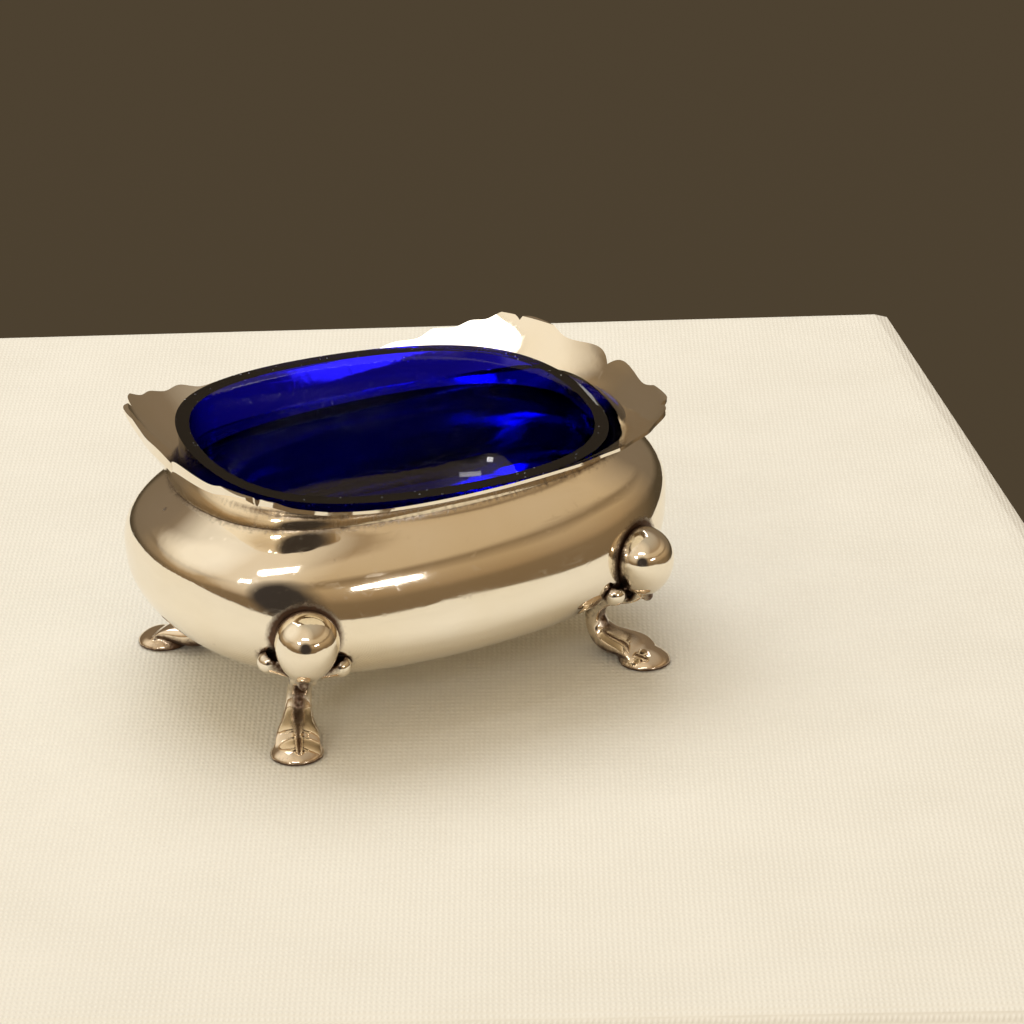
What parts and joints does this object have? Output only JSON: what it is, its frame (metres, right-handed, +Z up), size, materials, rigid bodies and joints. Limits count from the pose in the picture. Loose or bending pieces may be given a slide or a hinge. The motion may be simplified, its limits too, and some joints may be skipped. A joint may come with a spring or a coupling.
{
  "type": "salt cellar",
  "caption": "Oval open salt cellar: a bulging polished metal bowl with a flared, shaped rim on cabriole legs, holding a loose blue glass liner that lifts out.",
  "frame": {"origin": "on the table plane under the middle of the bowl", "axes": "+X along the bowl, +Y across it towards the back legs, +Z up"},
  "size_m": [0.082, 0.0566, 0.0413],
  "materials": {
    "silver": "polished silver, lightly worn, dark tarnish in the crevices",
    "cobalt_glass": "clear cobalt blue glass with a ground rim"
  },
  "bodies": {
    "silver": {"bowl": "silver", "rim": "silver", "leg_front_left": "silver", "leg_front_right": "silver", "leg_back_left": "silver", "leg_back_right": "silver"},
    "liner": {"glass_liner": "cobalt_glass"}
  },
  "joints": [
    {"name": "liner_lift", "type": "slide", "parent": "silver", "child": "liner", "axis": [0, 0, 1], "range_m": [0, 0.045]}
  ]
}
